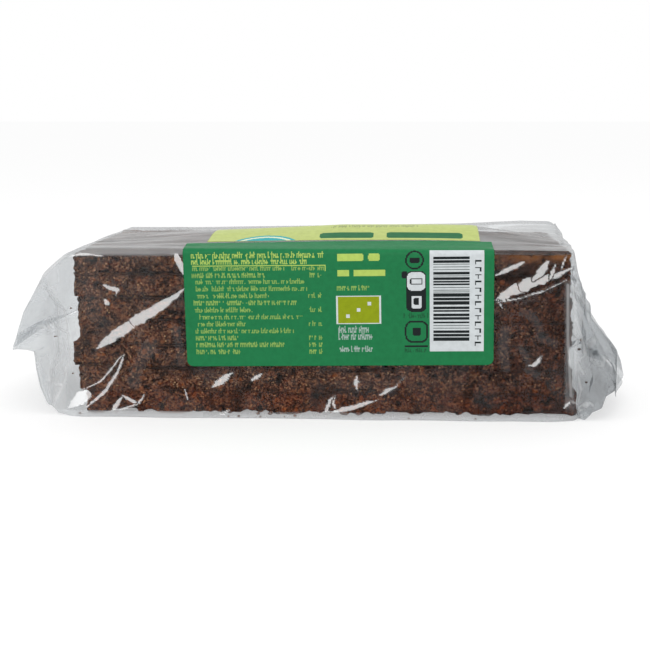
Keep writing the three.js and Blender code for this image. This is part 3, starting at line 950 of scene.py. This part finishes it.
def film_haze(bag, marks):
    """The part of the light that the film scatters."""
    x, y, z = bag.x, bag.y, bag.z
    haze = HAZE_CLEAR + bag.ends * np.where(bag.left, HAZE_LEFT_END, HAZE_RIGHT_END)
    haze = haze + top_haze(bag, marks.bare)
    haze = haze + HAZE_STRIP * marks.strip + HAZE_BROW * marks.brow
    haze = haze + HAZE_FIN * ((x < -104.5) | (x > 97))
    # Creases: the film's whitening, with a painted highlight along them.
    haze = haze + (CREASE_HAZE_AND_HIGHLIGHT + END_CREASE_HAZE_AND_HIGHLIGHT * bag.ends) * marks.lines
    haze = haze + marks.rim * np.where((x < 50) | (y > 0), HAZE_RIM, HAZE_FRONT_RIGHT_RIM)
    haze = haze + HAZE_FRONT_LEFT * smoothstep(-35, -75, x) * smoothstep(12, 50, z) * bag.is_front
    # Painted light at the foot of the left end, over the floor's shade.
    haze = haze + LEFT_FOOT_PAINTED_LIGHT * smoothstep(24, 4, z) * bag.ends * bag.left
    # Painted soft highlights: pale bands of haze along the given lines.
    for line, half in HIGHLIGHT_VEILS:
        away, _, _ = near_line(x, z, line)
        haze = haze + HIGHLIGHT_VEIL_HAZE * smoothstep(half * 1.25, half * 0.6, away) * bag.is_front
    return haze + marks.lip * np.where(x < -40, HAZE_LIP_LEFT, HAZE_LIP_RIGHT) * bag.body


def film_paleness(bag, marks):
    """How pale the scattering is, from 0, milky grey, to 1."""
    # Creases turn fully pale: the film's whitening, and a painted highlight.
    pale = bag.ends * bag.left + marks.lines + 0.42 * (bag.is_top | marks.rim)
    return np.clip(pale + 0.8 * marks.lip + 0.4 * marks.brow + 0.1 * marks.strip, 0, 1)


def film_plies_and_shade(bag, marks):
    """How much the film darkens what is behind it, from 0, one layer, to 1, several. At the right end and on
    the slack lip it is partly the film's layers and partly painted shade.
    """
    plies = bag.ends * np.where(bag.left, 0.25, 0.60) + 0.15 * marks.strip
    return plies + (0.45 - 0.4 * marks.bare) * bag.is_top + 0.1 * marks.lip * bag.body


def film_gloss(bag, marks):
    """The lean of the small facets, as a height, and how much more the film mirrors than plain film."""
    glint, shine = glint_height(bag.x, bag.z)
    crushed = crinkles(bag.points()).reshape(bag.x.shape)
    glint = glint * bag.is_front + np.where(bag.left, 0.2, 0.4) * marks.lines
    glint = glint + crushed * smoothstep(95, 99, bag.x)
    dull = 0.55 * marks.bare + 0.35 * smoothstep(26, 33, bag.y)
    return glint, shine * bag.is_front * (1 - 0.6 * bag.ends) - dull * bag.is_top * bag.body


def film_wrap(material):
    bag = Bag()
    moved = wrinkled(bag)
    marks = film_marks(bag, moved)
    glint, shine = film_gloss(bag, marks)
    looks = (
        ("haze", film_haze(bag, marks)), ("ply_and_shade", film_plies_and_shade(bag, marks)), ("glint", glint),
        ("pale", film_paleness(bag, marks)), ("shine", shine),
    )
    quads = grid_quads(*bag.x.shape, True)[:, ::-1]
    piece = make_piece("film_bag", moved.reshape(-1, 3), quads, material, looks)
    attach(piece, "root")
    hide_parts("film_wrap")


# ---- labels
def on_film(x, s, lift):
    """A point on the film, s millimetres from the middle of its front top edge: down the front if s < 0."""
    arc = BAG_CORNER * math.pi / 2
    centre_y, centre_z = -BAG_HALF_DEPTH + BAG_CORNER, BAG_HEIGHT - BAG_CORNER
    down = centre_z + s + arc / 2
    over = centre_y + s - arc / 2
    angle = np.clip((s + arc / 2) / BAG_CORNER, 0, math.pi / 2)
    front, top = s < -arc / 2, s > arc / 2
    height = lift + np.where(front, front_relief(x, down), 0) + np.where(top, top_relief(x, over), 0)
    y = np.where(top, over, centre_y - (BAG_CORNER + height) * np.cos(angle))
    z = np.where(front, down, centre_z + (BAG_CORNER + height) * np.sin(angle))
    return x, y, z + np.where(s > 0, arch(x, y), 0)


class Print:
    """Inks on a label, in millimetres: u runs along it from its left edge, v away from its first edge."""

    def __init__(self, u, v, ground):
        self.u, self.v = u, v
        self.colour = np.tile(np.array(ground, float), (len(u), 1))

    def fill(self, inside, colour, amount=1.0):
        self.colour[inside] += (np.array(colour) - self.colour[inside]) * amount

    def box(self, u0, v0, u1, v1, colour, radius=0.0):
        du = np.maximum(np.abs(self.u - (u0 + u1) / 2) - (u1 - u0) / 2 + radius, 0)
        dv = np.maximum(np.abs(self.v - (v0 + v1) / 2) - (v1 - v0) / 2 + radius, 0)
        self.fill(np.hypot(du, dv) <= max(radius, 1e-6), colour)

    def frame(self, u0, v0, u1, v1, width, line, inner, radius=0.0):
        self.box(u0, v0, u1, v1, line, radius)
        self.box(u0 + width, v0 + width, u1 - width, v1 - width, inner, max(radius - width, 0))

    def disc(self, u, v, radius, colour):
        self.fill(np.hypot(self.u - u, self.v - v) <= radius, colour)

    def filler(self, u0, u1, v, height, colour, seed, amount=0.52):
        """A row of plain strokes that stands for a line of print: no letters in it."""
        column = np.floor((self.u - u0) / STROKE).astype(np.int64)
        zero = column * 0
        sign = column // 2
        upright = hashed(sign, zero, zero, seed) < 0.85
        taller = hashed(sign, zero, zero, seed + 1) > 0.75
        rung = np.floor(hashed(sign, zero, zero, seed + 2) * 4)
        space = sign % 8 == np.floor(hashed(sign // 8, zero, zero, seed + 3) * 8)
        level = np.floor((self.v - v + height / 2) / (height / 3))
        tall = np.where(taller & (self.v < v), height * 0.8, height * 0.5)
        inked = np.where(column % 2 == 0, upright, (level == rung) | ((rung == 3) & (level == 0)))
        inside = (self.u > u0) & (self.u < u1) & (np.abs(self.v - v) < tall) & inked & ~space
        self.fill(inside, colour, amount)


STROKE = 0.3               # a stroke's width, and the spacing of a label's grid
GREEN = (0.014, 0.172, 0.060)
YELLOW = (0.42, 0.56, 0.12)
PALE = (0.585, 0.62, 0.635)
BLACK = (0.012, 0.016, 0.017)
THIN_BAR = (0.16, 0.18, 0.18)
OLIVE = (0.25, 0.31, 0.008)
LIME = (0.44, 0.51, 0.165)
TEAL = (0.02, 0.33, 0.36)
MINT = (0.66, 0.72, 0.5)
LEAF = (0.015, 0.13, 0.045)
MOSS = (0.08, 0.10, 0.06)
PRINT_SHIFT = 6.0          # rows count from this far below the front label's first edge, or ahead of the top's
# Rows of filler in the front label's text block: v, first u, last u, and whether a figure column follows.
TEXT_ROWS = [
    (8.75, 2.9, 34.0, 2), (11.0, 2.8, 27.2, 1), (13.2, 3.9, 40.4, 0), (15.6, 4.0, 41.4, 0),
    (18.0, 4.0, 29.0, 1), (20.2, 3.1, 38.4, 0), (22.8, 3.1, 22.9, 1), (25.2, 4.2, 40.3, 0),
    (27.6, 4.2, 20.4, 1), (30.0, 3.3, 36.6, 0), (32.2, 3.3, 18.2, 1), (34.7, 3.2, 33.4, 1),
    (37.0, 3.2, 18.3, 1),
]
BAR_STEP = 0.3
BARS_FROM, BARS_TO = 5.2, 33.4


def text_block(ink):
    ink.filler(2.8, 47.4, 4.3, 1.6, YELLOW, 301, 0.85)
    ink.filler(2.8, 41.3, 6.5, 1.6, YELLOW, 302, 0.85)
    ink.box(2.9, 7.45, 47.6, 7.75, YELLOW)
    ink.box(47.3, 7.45, 47.6, 9.6, YELLOW)
    for i, (row, start, stop, figures) in enumerate(TEXT_ROWS):
        ink.filler(start, stop, row, 1.35, YELLOW, 310 + i)
        if figures:
            ink.filler(36.4 if figures == 2 else 41.8, 44.1, row, 1.35, YELLOW, 340 + i)
            ink.filler(44.9, 47.0 if figures == 2 else 46.1, row, 1.35, YELLOW, 360 + i)


def flag_block(ink):
    for u0, v0, u1 in ((51.5, 4.0, 60.4), (62.0, 4.0, 65.8), (51.5, 9.2, 55.6), (57.0, 9.2, 67.6)):
        ink.box(u0, v0, u1, v0 + 2.2, YELLOW, 0.5)
    ink.filler(51.3, 62.1, 15.4, 1.3, YELLOW, 401)
    ink.frame(51.1, 18.0, 66.0, 27.6, 0.4, PALE, OLIVE)
    for k in range(3):
        ink.disc(55.0 + 3.6 * k, 24.9 - 2.1 * k, 0.7, PALE)
    ink.filler(51.5, 61.9, 29.7, 1.7, PALE, 402)
    ink.filler(51.7, 63.4, 32.0, 1.7, PALE, 403)
    ink.filler(51.7, 63.2, 36.5, 1.6, PALE, 404)


def sign_block(ink):
    ink.disc(77.3, 6.2, 3.1, BLACK)
    ink.disc(77.3, 6.2, 2.55, GREEN)
    ink.box(75.6, 5.3, 79.0, 7.1, BLACK, 0.5)
    ink.box(73.1, 10.0, 74.9, 12.3, BLACK, 0.3)
    ink.box(74.5, 9.9, 81.2, 23.6, BLACK, 1.8)
    ink.box(74.9, 10.3, 80.8, 16.4, PALE, 1.5)
    ink.frame(75.8, 12.2, 79.9, 14.4, 0.35, BLACK, PALE, 0.5)
    ink.box(76.3, 18.2, 79.5, 22.4, PALE, 0.5)
    ink.box(77.0, 18.9, 78.8, 21.4, BLACK, 0.4)
    ink.filler(73.5, 81.6, 25.2, 1.5, BLACK, 405)
    ink.frame(74.0, 26.6, 81.8, 34.2, 0.6, BLACK, GREEN, 2.6)
    ink.box(76.6, 29.0, 79.2, 31.8, BLACK, 0.5)
    ink.box(73.8, 35.0, 81.6, 35.6, BLACK)
    ink.filler(73.8, 81.8, 37.0, 1.2, BLACK, 406)


def bar_block(ink):
    """An invented pattern of bars on a white field, and right-angled ticks beside it."""

    def chance(k, row, seed):
        return hashed(np.array([k]), np.array([row]), np.array([0]), seed)[0]

    ink.box(82.3, 3.0, 100.4, 37.2, PALE)
    v, k = BARS_FROM, 0
    while v <= BARS_TO:
        thick = BAR_STEP * (1 + int(chance(k, 0, 77) * 3.2))
        ink.box(83.6, v, 95.6, v + thick, BLACK if thick > 0.5 else THIN_BAR)
        v += thick + BAR_STEP * (1 + int(chance(k, 1, 78) * 2.0)) * 0.9
        k += 1
    for k in range(13):
        v = 6.4 + 2.3 * k
        start, stop = ((97.2, 97.6), (98.9, 99.3), (98.1, 98.5))[k * 7 % 3]
        ink.box(97.2, v, 99.3, v + 0.4, BLACK)
        ink.box(start, v, stop, v + 1.5, BLACK)


def front_print(u, v):
    ink = Print(u, v - PRINT_SHIFT, GREEN)
    text_block(ink)
    flag_block(ink)
    sign_block(ink)
    bar_block(ink)
    return ink.colour


def top_print(u, v):
    ink = Print(u, v + PRINT_SHIFT, LIME)
    for radius, colour in ((12.6, TEAL), (11.4, MINT), (10.2, TEAL)):
        ink.disc(20.0, -1.0, radius, colour)
    ink.filler(13.0, 27.0, 4.0, 4.0, PALE, 501)
    ink.box(38.5, 7.5, 57.0, 12.5, LEAF, 1.2)
    ink.box(61.5, 7.5, 87.5, 12.5, LEAF, 1.2)
    ink.filler(41.5, 72.5, 20.5, 3.0, MOSS, 502)
    return ink.colour


def label_rim(rows, columns):
    """The border of a grid of points stored row by row, once round."""
    across, up = np.arange(columns - 1), np.arange(rows - 1)
    last = (rows - 1) * columns
    right, back = up * columns + columns - 1, last + columns - 1 - across
    return np.concatenate([across, right, back, (rows - 1 - up) * columns])


def label(name, node, slot, artwork, middle, width, low, high, turn, radius):
    """A label stuck on the film, from low to high over the bag's front top edge: its printed face on a fine
    grid, and its cut edge down to the film. v runs down the front label, and back on the top label."""
    columns, rows = round(width / STROKE) + 1, round((high - low) / STROKE) + 1
    v, u = np.meshgrid(np.linspace(0, high - low, rows), np.linspace(0, width, columns), indexing="ij")
    to_end = np.clip(radius - (high - low - v), 0, radius)
    pull = radius - np.sqrt(np.maximum(radius**2 - to_end**2, 0))
    across = (u - width / 2) * (1 - pull / (width / 2))
    s = high - v if node == "label_front" else low + v
    x_at = middle + across - (s - (low + high) / 2) * turn
    s_at = s + across * turn
    face, foot = (np.stack(on_film(x_at, s_at, lift), -1) for lift in (LABEL_LIFT, LABEL_FOOT))

    rim = label_rim(rows, columns)
    points = np.concatenate([face.reshape(-1, 3), foot.reshape(-1, 3)[rim]])
    own = rows * columns + np.arange(len(rim))
    skirt = np.stack([rim, own, np.roll(own, -1), np.roll(rim, -1)], -1)
    quads = grid_quads(rows, columns, False)
    normal = np.cross(face[0, 1] - face[0, 0], face[1, 0] - face[0, 0])
    if normal @ (0, -1, 0.6) < 0:
        quads, skirt = quads[:, ::-1], skirt[:, ::-1]
    piece = make_piece(name, points, np.concatenate([quads, skirt]), label_material(slot))

    colours = artwork(*((side[:-1, :-1] + side[1:, 1:]).ravel() / 2 for side in (u, v)))
    colours = np.concatenate([colours, np.tile(colours[:1], (len(skirt), 1))])
    inks = np.column_stack([colours, np.ones(len(colours))]).repeat(4, axis=0)
    layer = piece.data.color_attributes.new("ink", "FLOAT_COLOR", "CORNER")
    layer.data.foreach_set("color", inks.astype(np.float32).ravel())
    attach(piece, "root")
    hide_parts(node)


# ---- stage
FLOOR_GLOW = 0.5           # how much of the floor glows by itself, like a studio's light table
FLOOR_HALF = 60.0          # metres


def stage():
    n = Nodes("floor")
    matt = n.shader("BsdfDiffuse", Color=(0.95, 0.95, 0.95))
    lit = n.shader("Emission")
    n.put(n.surface, n.blend(FLOOR_GLOW, matt, lit))
    mesh = bpy.data.meshes.new("floor")
    corners = [(x * FLOOR_HALF, y * FLOOR_HALF, 0) for x, y in ((-1, -1), (1, -1), (1, 1), (-1, 1))]
    mesh.from_pydata(corners, [], [(0, 1, 2, 3)])
    mesh.materials.append(n.material)
    floor = bpy.data.objects.new("floor", mesh)
    bpy.context.collection.objects.link(floor)
    world = bpy.data.worlds.new("studio")
    bpy.context.scene.world = world
    world.use_nodes = True
    background = world.node_tree.nodes["Background"]
    background.inputs[0].default_value = (1, 1, 1, 1)
    background.inputs[1].default_value = 1.0


def panel(name, place, aim, width, height, power, diffuse=True, glossy=True):
    light = bpy.data.lights.new(name, "AREA")
    light.shape = "RECTANGLE"
    light.size, light.size_y = width, height
    light.energy = power
    lamp = bpy.data.objects.new(name, light)
    bpy.context.collection.objects.link(lamp)
    lamp.location = place
    lamp.rotation_euler = (Vector(aim) - Vector(place)).to_track_quat("-Z", "Y").to_euler()
    lamp.visible_diffuse = diffuse
    lamp.visible_glossy = glossy
    lamp.visible_camera = False


def lights():
    panel("top_soft", (0.1, -0.3, 1.0), (0, 0, 0.03), 0.9, 0.7, 3.0, glossy=False)
    panel("front_gleam", (-0.38, -1.18, 0.66), (0, 0, 0.03), 2.2, 1.1, 16.0, diffuse=False)


# The camera, in the same millimetres: where it stands, and how far it turns and looks down, in degrees.
CAMERA_PLACE = (26.82, -372.70, 100.46)
CAMERA_TURN = 2.43
CAMERA_DOWN = 9.57
CAMERA_SENSOR = 36.0
CAMERA_FOCAL = 56.725
CAMERA_SHIFT = (-0.05, -0.05)


def camera():
    data = bpy.data.cameras.new("camera")
    cam = bpy.data.objects.new("camera", data)
    bpy.context.collection.objects.link(cam)
    bpy.context.scene.camera = cam
    data.sensor_width = CAMERA_SENSOR
    data.lens = CAMERA_FOCAL
    data.shift_x, data.shift_y = CAMERA_SHIFT
    data.clip_start = 0.01
    cam.location = (np.array(CAMERA_PLACE) + ORIGIN) * MM
    cam.rotation_euler = (math.radians(90 - CAMERA_DOWN), 0, math.radians(CAMERA_TURN))


camera()
RYE = rye_material()
for number in range(1, SLICES + 1):
    rye_slice(number, RYE)
loose_crumbs(RYE)
film_wrap(film_material())
label(
    "front_label", "label_front", "green_label", front_print, middle=LABEL_X, width=LABEL_WIDTH,
    low=-LABEL_DOWN, high=LABEL_OVER, turn=LABEL_TURN, radius=2.2,
)
label(
    "top_label", "label_top", "lime_label", top_print, middle=TOP_LABEL_X, width=TOP_LABEL_WIDTH,
    low=TOP_LABEL_FROM, high=TOP_LABEL_OVER, turn=0.0, radius=0.6,
)
stage()
lights()
scene = bpy.context.scene
scene.view_settings.view_transform = "Standard"
scene.cycles.transparent_max_bounces = 24
